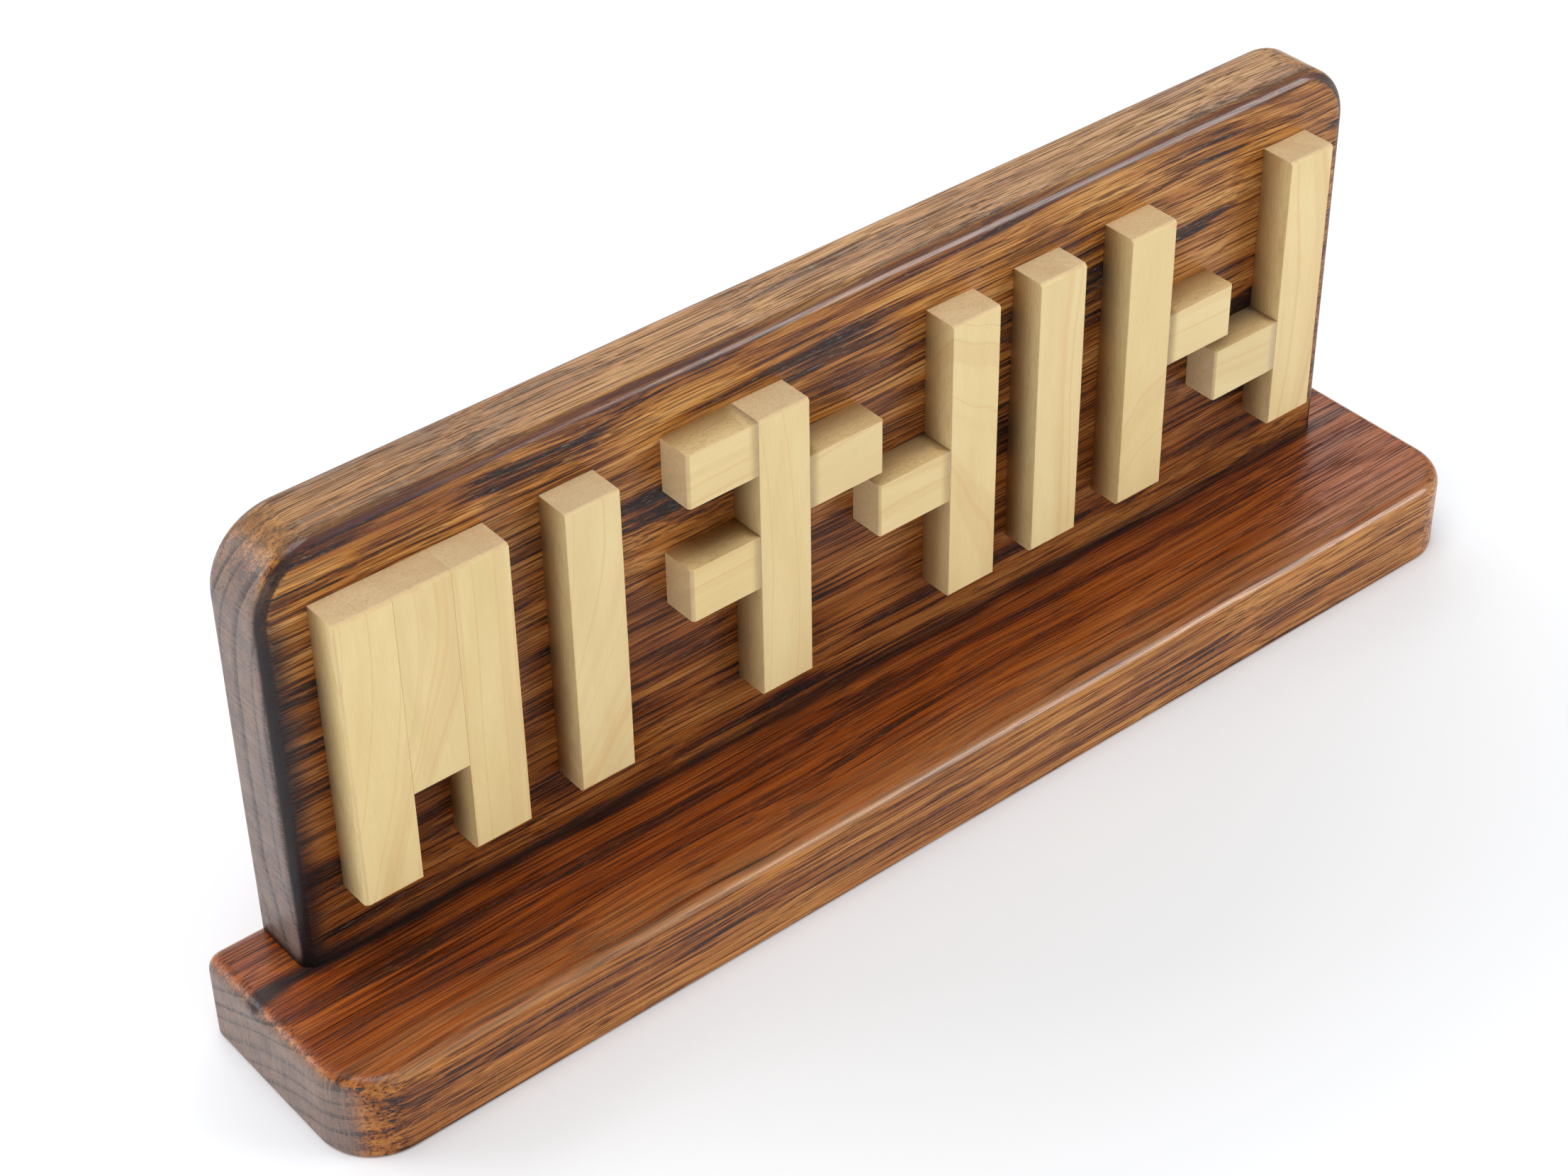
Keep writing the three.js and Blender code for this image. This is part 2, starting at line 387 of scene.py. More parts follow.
def flecked(g, wood, cut, stain, colour):
    """Painted glints as grey specks in some pores of the darkest bands, and rays as fine pale
    flecks.
    """
    glint = g.noise(g.stretched(wood.wavy, (4, 0.22, 0.22)), 1)
    glint = g.span(g.maths("ADD", glint, g.maths("MULTIPLY", wood.early, 0.06)), 0.69, 0.73)
    glint = g.maths("MULTIPLY", glint, g.span(stain, 0.5, 0.7, 0.0, 0.28))
    colour = g.mix(glint, colour, PORE_GLINT)
    rays = g.noise(g.stretched(wood.place, cut.ray_size), 1)
    return g.mix(g.span(rays, 0.60, 0.72, 0.0, 0.07), colour, RAY)


def tinted(g, wood, stain_and_shade, colour):
    # Stain with painted light and shade: darker at the foot of the board and lighter at its top,
    # and darker again on faces that face up
    tint = g.mix(g.span(wood.axes["Z"], 50, 114), stain_and_shade.low_tint, stain_and_shade.high_tint)
    colour = g.mix(1.0, colour, tint, "MULTIPLY")
    return g.mix(wood.up, colour, g.mix(1.0, colour, stain_and_shade.top_tint, "MULTIPLY"))


def painted_sheen_at_ends(g, wood, cut, pores, colour):
    """Painted sheen: the end grain is mixed most of the way to grey, for the pale floor reflected
    in it, with rings, pores and rays drawn over the grey.
    """
    sheened = g.mix(0.80, colour, END_SHEEN)
    sheened = g.mix(g.maths("MULTIPLY", wood.early, 0.80), sheened, END_RING)
    sheened = g.mix(g.maths("MULTIPLY", pores, 0.35), sheened, END_PORE)
    weave = g.noise(g.stretched(wood.place, [1.6 * size for size in cut.ray_size]), 2, 0.6)
    sheened = g.mix(g.span(weave, 0.42, 0.66, 0.0, 0.38), sheened, END_WEAVE)
    return g.mix(wood.end, colour, sheened)


def joint_stain_and_shade(g, wood, colour):
    """Painted shade and stain gather in the crease between the two boards, most of all at the left.
    """
    away = g.vector("SUBTRACT", wood.here, JOINT)
    away = g.vector("LENGTH", g.vector("MULTIPLY", away, (0, 1, 1)))
    reach = g.maths("MULTIPLY", g.noise(g.stretched(wood.place, (14, 5, 5)), 3, 0.6), 4.2)
    pooled_stain_and_shade = g.span(g.maths("SUBTRACT", reach, away), -0.6, 1.6)
    pooled_stain_and_shade = g.maths("MULTIPLY", pooled_stain_and_shade, g.span(wood.axes["X"], -140, 60, 0.95, 0.6))
    return g.mix(pooled_stain_and_shade, colour, JOINT_STAIN_AND_SHADE)


def rim_stain_and_reflection(g, wood, stain_and_shade, colour):
    """A painted dark reflection, with stain, gathers where the front runs into its round-over, most
    of all at the left end.
    """
    # Painted dark reflection and stain along the front round-overs, strongest on the upright ones
    # at the ends
    forward = g.facing((0, 1, 0))
    seam = g.maths("MULTIPLY", g.span(forward, 0.995, 0.93), g.span(forward, 0.35, 0.62))
    seam = g.maths("MULTIPLY", seam, g.span(wood.end_on, 0.02, 0.3, 0.35, 1.0))
    colour = g.mix(g.maths("MULTIPLY", seam, stain_and_shade.rim), colour, SEAM_STAIN_AND_REFLECTION)

    upward = g.facing((0, 0, 1))
    crest = g.maths("MULTIPLY", g.span(upward, 0.42, 0.66), g.span(upward, 0.985, 0.90))
    crest = g.maths("MULTIPLY", crest, g.span(wood.streaks, 0.36, 0.56, 0.25, 0.85))
    crest = g.maths("MULTIPLY", crest, wood.not_end)
    colour = g.mix(g.maths("MULTIPLY", crest, stain_and_shade.rim), colour, CREST_STAIN)

    # The same painted dark reflection and stain spreads onto the front beside the left end
    bleed = g.maths("ADD", wood.axes["X"], g.maths("MULTIPLY", wood.streaks, 9.0))
    bleed = g.maths("MULTIPLY", g.span(bleed, -128.0, -133.5), g.span(wood.axes["Z"], 110, 96))
    bleed = g.maths("MULTIPLY", bleed, g.span(wood.end_on, 0.75, 0.95, stain_and_shade.rim, 0.0))
    return g.mix(bleed, colour, SEAM_STAIN_AND_REFLECTION)


def rubbed_back(g, wood, stain_and_shade, colour):
    """The top round-over and the strip behind the front edge are rubbed paler."""
    near_front = g.maths("MULTIPLY", g.span(wood.axes["Y"], -10, -25, 0.0, 0.6), wood.up)
    rubbed = g.maths("MULTIPLY", wood.rounded, g.span(g.facing((0, 0, 1)), 0.1, 0.4))
    rubbed = g.maths("MAXIMUM", rubbed, near_front)
    rubbed = g.maths("MULTIPLY", rubbed, g.span(wood.streaks, 0.62, 0.42, 0.2, 1.0))
    return g.mix(g.maths("MULTIPLY", rubbed, stain_and_shade.rubbed), colour, RUBBED)


def oak_lacquer(g, wood, holes):
    """Satin, duller over pores and ends and glossier on the round-overs."""
    smear = g.noise(g.stretched(wood.place, (30, 8, 8)), 3, 0.6)
    dull = g.span(smear, 0.3, 0.7, 0.25, 0.38)
    dull = g.maths("ADD", dull, g.maths("MULTIPLY", holes, 0.3))
    dull = g.maths("ADD", dull, g.maths("MULTIPLY", wood.end, 0.08))
    g.put(g.shader.inputs["Roughness"], dull)
    g.shader.inputs["Specular IOR Level"].default_value = 0.32
    g.put(g.shader.inputs["Coat Weight"], g.maths("MULTIPLY", wood.rounded, 0.7))
    g.shader.inputs["Coat Roughness"].default_value = 0.14

    relief = g.maths("SUBTRACT", g.maths("MULTIPLY", wood.fibres, 0.3), holes)
    fine = g.bump(relief, 0.11 * MM, 0.42)
    wave = g.noise(g.stretched(wood.place, (38, 10, 10)))
    g.put(g.shader.inputs["Normal"], g.bump(wave, 1.2 * MM, 0.10, fine))


def stained_oak(name, cut, stain_and_shade):
    """Open-grained oak, grain along X, stained dark and lacquered."""
    g = Graph(name)
    wood = oak_structure(g, cut)
    stain = stain_depth(g, wood, stain_and_shade)
    pores, holes = oak_pores(g, wood)
    colour = g.ramp(stain, STAINED_OAK)
    colour = g.mix(g.maths("MULTIPLY", wood.up, stain_and_shade.top_even), colour, EVEN_TOP)
    colour = g.mix(g.maths("MULTIPLY", holes, 0.72), colour, PORE)
    colour = flecked(g, wood, cut, stain, colour)
    colour = tinted(g, wood, stain_and_shade, colour)
    colour = painted_sheen_at_ends(g, wood, cut, pores, colour)
    colour = joint_stain_and_shade(g, wood, colour)
    colour = rim_stain_and_reflection(g, wood, stain_and_shade, colour)
    colour = rubbed_back(g, wood, stain_and_shade, colour)
    g.put(g.shader.inputs["Base Color"], colour)
    oak_lacquer(g, wood, holes)
    return g.material


# ---- Maple ----

PALE_MAPLE = (
    (0.30, (0.735, 0.560, 0.260)),
    (0.50, (0.775, 0.600, 0.290)),
    (0.70, (0.805, 0.640, 0.325)),
)
MAPLE_FIBRE = (0.60, 0.40, 0.18)
MAPLE_LINE = (0.68, 0.42, 0.18)
MAPLE_BAND = (0.66, 0.45, 0.20)
MAPLE_FLECK = (0.50, 0.31, 0.13)
MAPLE_RAY = (0.44, 0.28, 0.12)
SAWN = (0.46, 0.29, 0.12)
SMUDGED = (0.47, 0.29, 0.11)
MAPLE_END = (0.63, 0.46, 0.31)
END_SPECKLE = (0.46, 0.29, 0.17)
WORN = (0.58, 0.38, 0.17)


def maple_rings(g, draw, here, place, long_way):
    """How far out the growth is. Rings pass as planes that lean their own way in each stick."""
    lean = draw.uniform(0.2, 1.3)
    across = [0 if way else 1 for way in long_way]
    plane = (across[0] * math.cos(lean), math.sin(lean), across[2] * math.cos(lean))
    growth = g.vector("DOT_PRODUCT", place, plane)
    # In some uprights the rings close into an arch.
    apex = draw.uniform(10, 130)
    arch = draw.choice((0, 0.002, 0.006)) if long_way[2] else 0
    height = g.add("ShaderNodeSeparateXYZ", Vector=here).outputs["Z"]
    height = g.maths("SUBTRACT", height, apex)
    arched = g.maths("MULTIPLY", g.maths("MULTIPLY", height, height), arch)
    return g.maths("ADD", growth, arched)


def maple_grain(g, draw, sized, growth, cloud, fibres):
    """The colour of a planed face."""
    bands = g.noise_along(g.maths("DIVIDE", growth, 8.5), 1)
    line = g.maths("ABSOLUTE", g.maths("SUBTRACT", bands, draw.uniform(0.47, 0.53)))
    line = g.span(line, 0.003, 0.02, 1.0, 0.0)
    broad = g.span(g.noise_along(g.maths("DIVIDE", growth, 5.2), 0), 0.55, 0.68)
    flecks = g.noise(sized(1.6, 0.28), 1)
    rays = g.noise(sized(0.85, 0.34), 1)
    rays = g.maths("MULTIPLY", g.span(rays, 0.55, 0.68), g.span(g.facing((0, 0, 1)), 0.6, 0.9))

    warmth = draw.uniform(-0.03, 0.03)
    tone = draw.uniform(0.95, 1.02)
    tint = (tone, tone - warmth / 2, tone - warmth * 2)
    colour = g.mix(1.0, g.ramp(cloud, PALE_MAPLE), tint, "MULTIPLY")
    colour = g.mix(g.span(fibres, 0.35, 0.7, 0.10, 0.0), colour, MAPLE_FIBRE)
    colour = g.mix(g.maths("MULTIPLY", line, 0.38), colour, MAPLE_LINE)
    colour = g.mix(g.maths("MULTIPLY", broad, 0.30), colour, MAPLE_BAND)
    colour = g.mix(g.span(flecks, 0.62, 0.74, 0.0, 0.12), colour, MAPLE_FLECK)
    return g.mix(g.maths("MULTIPLY", rays, 0.42), colour, MAPLE_RAY)


def pale_maple(name, grain, seed):
    """Close-grained maple. grain is "X" or "Z", the stick's own direction."""
    draw = random.Random(seed)
    g = Graph(name)
    here = g.place_mm()
    place = g.vector("ADD", here, [draw.uniform(-400, 400) for _ in range(3)])
    long_way = {"X": (1, 0, 0), "Z": (0, 0, 1)}[grain]

    def sized(along, across):
        return g.stretched(place, [along if way else across for way in long_way])

    wander = g.noise(sized(60, 16), 1, output="Color")
    wander = g.vector("SUBTRACT", wander, (0.5, 0.5, 0.5))
    wander = g.vector("MULTIPLY", wander, [0 if way else 8 for way in long_way])
    place = g.vector("ADD", place, wander)

    cloud = g.noise(sized(34, 7), 3, 0.55)
    fibres = g.noise(sized(7, 0.3), 3, 0.6)
    growth = maple_rings(g, draw, here, place, long_way)
    colour = maple_grain(g, draw, sized, growth, cloud, fibres)

    # The sawn sides keep short rough marks and smudges.
    end = g.span(g.facing(long_way), 0.6, 0.9)
    front = g.span(g.facing((0, 1, 0)), 0.5, 0.85)
    side = g.maths("MULTIPLY", g.maths("SUBTRACT", 1.0, end), g.maths("SUBTRACT", 1.0, front))
    saw = g.noise(sized(2.6, 0.5), 4, 0.7)
    saw = g.maths("MULTIPLY", g.span(saw, 0.46, 0.66), side)
    colour = g.mix(g.maths("MULTIPLY", saw, 0.16), colour, SAWN)
    smudge = g.noise(sized(9, 2.2), 4, 0.65)
    smudge = g.maths("MULTIPLY", g.span(smudge, 0.5, 0.66, 0.0, 0.22), side)
    colour = g.mix(smudge, colour, SMUDGED)

    # The end grain is browner and speckled.
    speckle = g.noise(g.stretched(place, (0.9, 0.6, 0.9)), 4, 0.7)
    speckle = g.maths("MULTIPLY", g.span(speckle, 0.46, 0.70), end)
    colour = g.mix(g.maths("MULTIPLY", end, 0.42), colour, MAPLE_END)
    colour = g.mix(g.maths("MULTIPLY", speckle, 0.30), colour, END_SPECKLE)

    # Sanding dust and handling leave the arrises a little browner.
    worn = g.maths("MULTIPLY", g.edges(), g.span(cloud, 0.35, 0.6, 0.15, 0.45))
    g.put(g.shader.inputs["Base Color"], g.mix(worn, colour, WORN))

    rough = g.span(cloud, 0.3, 0.7, 0.44, 0.55)
    g.put(g.shader.inputs["Roughness"], g.maths("ADD", rough, g.maths("MULTIPLY", side, 0.15)))
    relief = g.maths("ADD", g.maths("MULTIPLY", fibres, 0.5), g.maths("MULTIPLY", saw, -0.9))
    relief = g.maths("SUBTRACT", relief, g.maths("MULTIPLY", speckle, 0.6))
    g.put(g.shader.inputs["Normal"], g.bump(relief, 0.1 * MM, 0.4))
    return g.material


def plated_steel(name):
    """Zinc-plated, yellow passivated screw steel."""
    g = Graph(name)
    place = g.place_mm()
    bloom = g.noise(g.stretched(place, (1.4, 1.4, 1.4)), 4, 0.6)
    colour = g.ramp(bloom, (
        (0.32, (0.45, 0.36, 0.17)),
        (0.50, (0.62, 0.52, 0.27)),
        (0.68, (0.60, 0.50, 0.42)),
    ))
    g.put(g.shader.inputs["Base Color"], colour)
    g.shader.inputs["Metallic"].default_value = 1.0
    g.put(g.shader.inputs["Roughness"], g.span(bloom, 0.3, 0.7, 0.24, 0.45))
    scratches = g.noise(g.stretched(place, (0.12, 0.9, 0.5)), 2, 0.5)
    g.put(g.shader.inputs["Normal"], g.bump(scratches, 0.02 * MM, 0.4))
    return g.material


# ---- Meshes ----

def new_piece(name, mesh, material, node):
    """A piece that stands for a CAD node and rides on the object's one body."""
    piece = bpy.data.objects.new(name, mesh)
    bpy.context.scene.collection.objects.link(piece)
    mesh.materials.clear()
    mesh.materials.append(material)
    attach(piece, "root")
    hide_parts(node)
    return piece


def smooth(mesh):
    for polygon in mesh.polygons:
        polygon.use_smooth = True


def flat_faces_stay_flat(piece):
    """Normals weighted by area, so that a big flat face isn't shaded by its round-over."""
    weighted = piece.modifiers.new("flat_faces", "WEIGHTED_NORMAL")
    weighted.mode = "FACE_AREA"
    weighted.weight = 100


def arc(centre, radius, start, stop, steps):
    points = []
    for i in range(steps + 1):
        angle = math.radians(start + (stop - start) * i / steps)
        points.append((centre[0] + radius * math.cos(angle), centre[1] + radius * math.sin(angle)))
    return points


def lofted(name, rings):
    """A closed mesh through rings of equally many points, with a face over each end."""
    count = len(rings[0])
    vertices = [point for ring in rings for point in ring]
    faces = []
    for level in range(len(rings) - 1):
        low = level * count
        for i in range(count):
            j = (i + 1) % count
            faces.append((low + i, low + j, low + count + j, low + count + i))
    faces.append(tuple(reversed(range(count))))
    faces.append(tuple(range((len(rings) - 1) * count, len(rings) * count)))
    mesh = bpy.data.meshes.new(name)
    mesh.from_pydata(vertices, [], faces)
    mesh.update()
    smooth(mesh)
    return mesh


CORNER_STEPS = 14
ROUND_STEPS = 8
OUTLINE_STEP = 5 * MM


def quarter_round(radius, steps=ROUND_STEPS):
    """(inset, height) pairs up a quarter round, from the side wall to the face above it."""
    pairs = []
    for i in range(steps + 1):
        angle = math.radians(90 * i / steps)
        pairs.append((radius * (1 - math.cos(angle)), radius * math.sin(angle)))
    return pairs


SANDING_DEPTH = 0.12 * MM
SANDING_WAVES = 28  # per metre
SANDING_REACH = 20 * MM  # nearer the middle than this, the push along X fades out


def hand_sanded(rings, seed):
    """Moves the points of rings inwards, in slow waves, as hand sanding does."""
    middle = Vector((0, 0, 0))
    for ring in rings:
        for point in ring:
            middle += Vector(point) / (len(rings) * len(ring))
    worn = []
    for ring in rings:
        worn_ring = []
        for x, y, z in ring:
            point = Vector((x, y, z))
            wave = noise.noise(point * SANDING_WAVES + Vector((seed, 0, 0)))
            inwards = (middle - point).normalized()
            along = middle.x - x
            inwards.x = math.copysign(min(1, abs(along) / SANDING_REACH), along) * 0.5
            shift = inwards.normalized() * SANDING_DEPTH * (0.5 + 0.5 * wave)
            worn_ring.append(tuple(point + shift))
        worn.append(worn_ring)
    return worn


# Sizes that the CAD model shares with this one
ROUND_OVER = 3.2 * MM
FRONT_CORNER = 13.2 * MM
BACK_CORNER = 3.8 * MM
BOTTOM_EASE = 0.8 * MM
BOARD_CORNER = 15 * MM
SLIVER = 0.001 * MM
SCREW_NODES = ("screw_left", "screw_middle", "screw_right")


def filled_alike(guide, points):
    """points with extra points on each side, as many as guide's sides need.

    One guide for all the rings of a mesh keeps their counts alike.
    """
    full = []
    for i, (x, y) in enumerate(points):
        j = (i + 1) % len(points)
        side = math.hypot(guide[j][0] - guide[i][0], guide[j][1] - guide[i][1])
        parts = max(1, round(side / OUTLINE_STEP))
        for k in range(parts):
            share = k / parts
            full.append((x + (points[j][0] - x) * share, y + (points[j][1] - y) * share))
    return full


def base_rings():
    low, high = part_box("base")

    def outline(inset):
        x0, x1 = low.x + inset, high.x - inset
        y0, y1 = low.y + inset, high.y - inset
        front = FRONT_CORNER - inset
        back = BACK_CORNER - inset
        points = arc((x1 - front, y0 + front), front, -90, 0, CORNER_STEPS)
        points += arc((x1 - back, y1 - back), back, 0, 90, CORNER_STEPS)
        points += arc((x0 + back, y1 - back), back, 90, 180, CORNER_STEPS)
        points += arc((x0 + front, y0 + front), front, 180, 270, CORNER_STEPS)
        return points

    ease = quarter_round(BOTTOM_EASE, 3)[::-1]
    levels = [(inset, low.z + BOTTOM_EASE - height) for inset, height in ease]
    levels += [(inset, high.z - ROUND_OVER + height) for inset, height in quarter_round(ROUND_OVER)]
    widest = outline(0)
    rings = []
    for inset, z in levels:
        rings.append([(x, y, z) for x, y in filled_alike(widest, outline(inset))])
    return rings


def board_rings():
    low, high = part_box("back_board")

    def outline(inset):
        x0, x1, z1 = low.x + inset, high.x - inset, high.z - inset
        corner = BOARD_CORNER - inset
        points = [(x1, low.z)]
        points += arc((x1 - corner, z1 - corner), corner, 0, 90, CORNER_STEPS)
        points += arc((x0 + corner, z1 - corner), corner, 90, 180, CORNER_STEPS)
        points += [(x0, low.z)]
        return points

    levels = [(inset, high.y - ROUND_OVER + height) for inset, height in quarter_round(ROUND_OVER)]
    levels = levels[::-1]
    levels += [(inset, low.y + ROUND_OVER - height) for inset, height in quarter_round(ROUND_OVER)]
    widest = outline(0)
    rings = []
    for inset, y in levels:
        rings.append([(x, y, z) for x, z in filled_alike(widest, outline(inset))])
    return rings


def turned(name, profile, steps=40):
    """A closed mesh turned about +Z from (radius, height) pairs between its two poles."""
    rings = []
    for radius, height in profile[1:-1]:
        ring = []
        for i in range(steps):
            angle = 2 * math.pi * i / steps
            ring.append((radius * math.cos(angle), radius * math.sin(angle), height))
        rings.append(ring)
    return lofted(name, rings)


def without_slivers(mesh):
    """Removes the faces of no area that a cut leaves."""
    work = bmesh.new()
    work.from_mesh(mesh)
    bmesh.ops.dissolve_degenerate(work, dist=SLIVER, edges=work.edges)
    work.to_mesh(mesh)
    work.free()


def cut_away(piece, cutter_meshes):
    """Cuts the meshes out of the piece, for good."""
    for mesh in cutter_meshes:
        cutter = bpy.data.objects.new("cutter", mesh)
        bpy.context.scene.collection.objects.link(cutter)
        cut = piece.modifiers.new("cut", "BOOLEAN")
        cut.operation = "DIFFERENCE"
        cut.solver = "EXACT"
        cut.object = cutter
        graph = bpy.context.evaluated_depsgraph_get()
        result = bpy.data.meshes.new_from_object(piece.evaluated_get(graph))
        piece.modifiers.clear()
        old = piece.data
        result.name = old.name
        piece.data = result
        bpy.data.meshes.remove(old)
        bpy.data.objects.remove(cutter)
        bpy.data.meshes.remove(mesh)
    without_slivers(piece.data)


SCREW_CLEARANCE = 0.3 * MM
HEAD_RADIUS = 4.1 * MM
SHANK_RADIUS = 2.1 * MM
HEAD_RECESS = 0.6 * MM
HEAD_RIM = 0.4 * MM


def screw_holes():
    """Meshes of the countersunk space round each screw."""
    cutters = []
    head = HEAD_RADIUS + SCREW_CLEARANCE
    shank = SHANK_RADIUS + SCREW_CLEARANCE
    rim = HEAD_RECESS + HEAD_RIM
    for node in SCREW_NODES:
        low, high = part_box(node)
        x, y = (low.x + high.x) / 2, (low.y + high.y) / 2
        profile = [
            (0, 0),
            (head, -1 * MM),
            (head, rim),
            (shank, rim + HEAD_RADIUS - SHANK_RADIUS),
            (shank, high.z - 3.7 * MM),
            (0.2 * MM, high.z + 0.6 * MM),
            (0, 0),
        ]
        mesh = turned("hole", profile)
        mesh.transform(Matrix.Translation((x, y, 0)))
        cutters.append(mesh)
    return cutters


def add_oak():
    board_cut = Oak(
        shift=(310, 40, 20),
        heart=(-95, 85),
        ring_width=3.9,
        wander=6,
        ray_size=(1.2, 5, 0.22),
    )
    board_stain_and_shade = StainAndShade(
        early=0.22,
        bands=0.75,
        patches=1.45,
        depth=0.45,
        low_tint=(0.92, 0.76, 0.47),
        high_tint=(1.42, 1.56, 1.28),
        top_tint=(0.70, 0.76, 0.80),
        ends=(0.10, -0.05),
        top_even=0.4,
        rim=0.9,
        rubbed=0,
    )
    board_oak = stained_oak("oak_board", board_cut, board_stain_and_shade)
    base_cut = Oak(
        shift=(-140, 95, 60),
        heart=(50, -40),
        ring_width=3.7,
        wander=4.5,
        ray_size=(1.2, 0.22, 5),
    )
    base_stain_and_shade = StainAndShade(
        early=0.2,
        bands=0.7,
        patches=0.7,
        depth=0.41,
        low_tint=(1.21, 1.12, 0.68),
        high_tint=(1.21, 1.12, 0.68),
        top_tint=(0.70, 0.45, 0.32),
        ends=(0.04, -0.04),
        top_even=0.1,
        rim=0,
        rubbed=0.55,
    )
    base_oak = stained_oak("oak_base", base_cut, base_stain_and_shade)
    board = new_piece(
        "oak_back_board",
        lofted("oak_back_board", hand_sanded(board_rings(), 4)),
        board_oak,
        "back_board",
    )
    base = new_piece(
        "oak_base",
        lofted("oak_base", hand_sanded(base_rings(), 9)),
        base_oak,
        "base",
    )
    for piece in (board, base):
        cut_away(piece, screw_holes())
        smooth(piece.data)
        flat_faces_stay_flat(piece)


# ---- Screws ----

THREAD_PITCH = 1.8 * MM
THREAD_DEPTH = 0.55 * MM
THREAD_RUN_IN = 2 * MM
ROWS_PER_TURN = 9
PLAIN_SHANK = 9 * MM
POINT_LENGTH = 4 * MM
HEAD_EASE_WIDTH = 0.15 * MM
HEAD_EASE_HEIGHT = 0.12 * MM
SCREW_STEPS = 36


def screw_mesh(name, low, high):
    """A countersunk wood screw, flat head down, with its thread cut as a helix."""
    rim = low.z + HEAD_RIM
    cone_top = rim + HEAD_RADIUS - SHANK_RADIUS
    plain_top = cone_top + PLAIN_SHANK
    point_start = high.z - POINT_LENGTH
    heights = [low.z, low.z + HEAD_EASE_HEIGHT, rim, cone_top, plain_top]
    rows = round((high.z - plain_top) / (THREAD_PITCH / ROWS_PER_TURN))
    heights += [plain_top + (high.z - plain_top) * (i + 1) / rows for i in range(rows)]
    rings = []
    for height in heights:
        ring = []
        for i in range(SCREW_STEPS):
            turn = i / SCREW_STEPS
            if height <= low.z:
                radius = HEAD_RADIUS - HEAD_EASE_WIDTH
            elif height <= rim:
                radius = HEAD_RADIUS
            elif height <= plain_top:
                radius = SHANK_RADIUS * 0.93
            else:
                phase = (height / THREAD_PITCH - turn) % 1
                ridge = max(0.0, 1 - abs(phase - 0.5) * 3.2)
                fade = min(1.0, (height - plain_top) / THREAD_RUN_IN)
                core = SHANK_RADIUS - THREAD_DEPTH
                radius = core + THREAD_DEPTH * ridge * fade
                if height > point_start:
                    radius *= max(0.06, (high.z - height) / (high.z - point_start))
            angle = 2 * math.pi * turn
            ring.append((radius * math.cos(angle), radius * math.sin(angle), height))
        rings.append(ring)
    mesh = lofted(name, rings)
    mesh.transform(Matrix.Translation(((low.x + high.x) / 2, (low.y + high.y) / 2, 0)))
    return mesh


def add_screws():
    steel = plated_steel("screw_plating")
    for node in SCREW_NODES:
        low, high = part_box(node)
        screw = new_piece("wood_" + node, screw_mesh(node, low, high), steel, node)
        flat_faces_stay_flat(screw)


# ---- Maple sticks ----

# Least and most
END_CHAMFER = (0.4 * MM, 0.75 * MM)
ARRIS = (0.08 * MM, 0.22 * MM)
SOFT_ARRIS = (0.7 * MM, 1.1 * MM)

SOFT_STICK = "block1_left_strip"  # its outer arris is sanded rounder than the others
GLUED_CLOSER = 0.01 * MM  # how far a glued end or side reaches into the glue line
GLUED_ARRIS = 0.06 * MM
STEP = 0.05 * MM  # between neighbours, at most
END_EASE = 0.16 * MM
PLANING = 0.07 * MM  # taken off a figure's front, at most
WEAR_WAVES = 160  # per metre of arris
STICK_STEP = 3 * MM
ARC_STEPS = 4
FIRST_GRAIN_SEED = 200


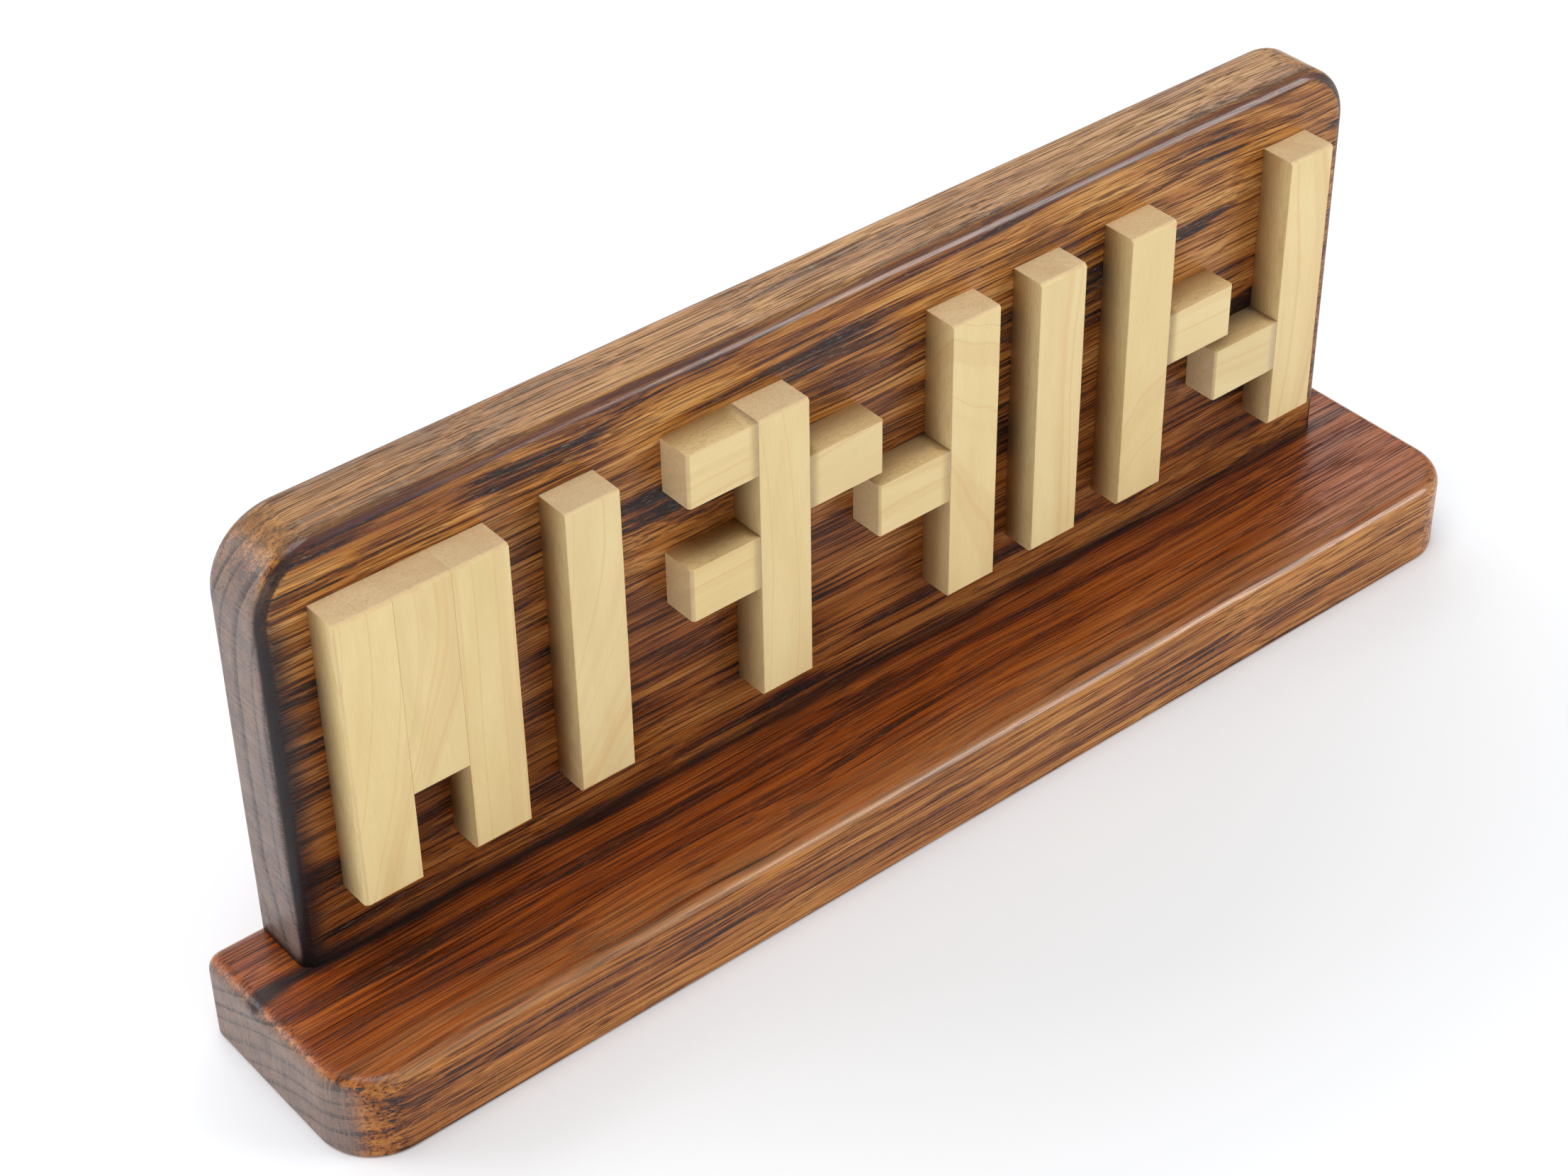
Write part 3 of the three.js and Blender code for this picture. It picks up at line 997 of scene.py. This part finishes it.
def stick_mesh(name, low, high, grain, free_ends, free_sides, figure):
    """A stick with sanded end chamfers and arrises that are eased unevenly by hand.

    free_ends and free_sides hold -1 and +1 for the ends along the grain and for the two sides
    across it that no neighbour is glued to. The front is -Y and the back is glued down. The
    sticks of one figure, which is a number, were sanded together.
    """
    along = 0 if grain == "X" else 2
    across = 2 - along
    low, high = low.copy(), high.copy()
    for side in (-1, 1):
        if side not in free_ends:
            (low if side < 0 else high)[along] += side * GLUED_CLOSER
        if side not in free_sides:
            (low if side < 0 else high)[across] += side * GLUED_CLOSER
    together = random.Random(figure)
    alone = random.Random(name)
    front = low.y + together.uniform(0, PLANING) + alone.uniform(0, STEP)
    if -1 in free_ends:
        low[along] += alone.uniform(0, STEP)
    if 1 in free_ends:
        high[along] -= alone.uniform(0, STEP)
    length = high[along] - low[along]
    chamfer = {end: together.uniform(*END_CHAMFER) if end in free_ends else 0 for end in (-1, 1)}
    wave = together.uniform(0, 500) + low.x * 900
    arris = SOFT_ARRIS if name == SOFT_STICK else ARRIS

    def stations():
        """(place along the stick, sanding inset) from one end to the other."""
        near = []
        for inset, rise in quarter_round(END_EASE, 3)[::-1]:
            near.append((END_EASE - rise, inset))
        starts = near if -1 in free_ends else [(0.0, 0.0)]
        stops = [(length - place, inset) for place, inset in near[::-1]]
        stops = stops if 1 in free_ends else [(length, 0.0)]
        breaks = [chamfer[-1] * share for share in (0.55, 1, 1.25) if chamfer[-1]]
        breaks += [length - chamfer[1] * share for share in (1.25, 1, 0.55) if chamfer[1]]
        count = round(length / STICK_STEP)
        breaks += [length * i / count for i in range(1, count)]
        lowest, highest = starts[-1][0] + 0.1 * MM, stops[0][0] - 0.1 * MM
        inner = sorted(place for place in breaks if lowest < place < highest)
        return starts + [(place, 0.0) for place in inner] + stops

    rings = []
    for place, inset in stations():
        cut = max(chamfer[-1] - place, chamfer[1] - (length - place), 0.0)
        y = front + cut + inset
        ring = []
        for side in (-1, 1):
            free = side in free_sides
            edge = low[across] + inset * free if side < 0 else high[across] - inset * free
            wear = 0.5 + 0.5 * noise.noise(Vector((place * WEAR_WAVES, wave + side * 9, 0)))
            radius = (arris[0] + (arris[1] - arris[0]) * wear) if free else GLUED_ARRIS
            centre = (edge - side * radius, y + radius)
            turns = (180, 270) if side < 0 else (270, 360)
            corner = arc(centre, radius, *turns, ARC_STEPS)
            back = [(edge, high.y)]
            ring += back + corner if side < 0 else corner + back
        points = []
        for v, y_place in ring:
            point = Vector((0, y_place, 0))
            point[across] = v
            point[along] = low[along] + place
            points.append(tuple(point))
        rings.append(points)
    mesh = lofted(name, rings)
    if grain == "X":
        mesh.flip_normals()
    return mesh


def sticks():
    """(CAD node, grain, free ends, free sides) of every maple stick."""
    found = []
    for node in sorted(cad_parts):
        if node.endswith("_arm"):
            free_end = -1 if "left" in node else 1
            found.append((node, "X", (free_end,), (-1, 1)))
        elif node.endswith("left_strip"):
            found.append((node, "Z", (-1, 1), (-1,)))
        elif node.endswith("middle_strip"):
            found.append((node, "Z", (-1, 1), ()))
        elif node.endswith("right_strip"):
            found.append((node, "Z", (-1, 1), (1,)))
        elif node.endswith("_bar"):
            found.append((node, "Z", (-1, 1), (-1, 1)))
    return found


def add_sticks():
    for number, (node, grain, free_ends, free_sides) in enumerate(sticks()):
        low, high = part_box(node)
        figure = int(node[len("block")])
        mesh = stick_mesh(node, low, high, grain, free_ends, free_sides, figure)
        material = pale_maple("maple_" + node, grain, FIRST_GRAIN_SEED + number)
        stick = new_piece("maple_" + node, mesh, material, node)
        flat_faces_stay_flat(stick)


add_camera()
add_studio()
add_oak()
add_screws()
add_sticks()
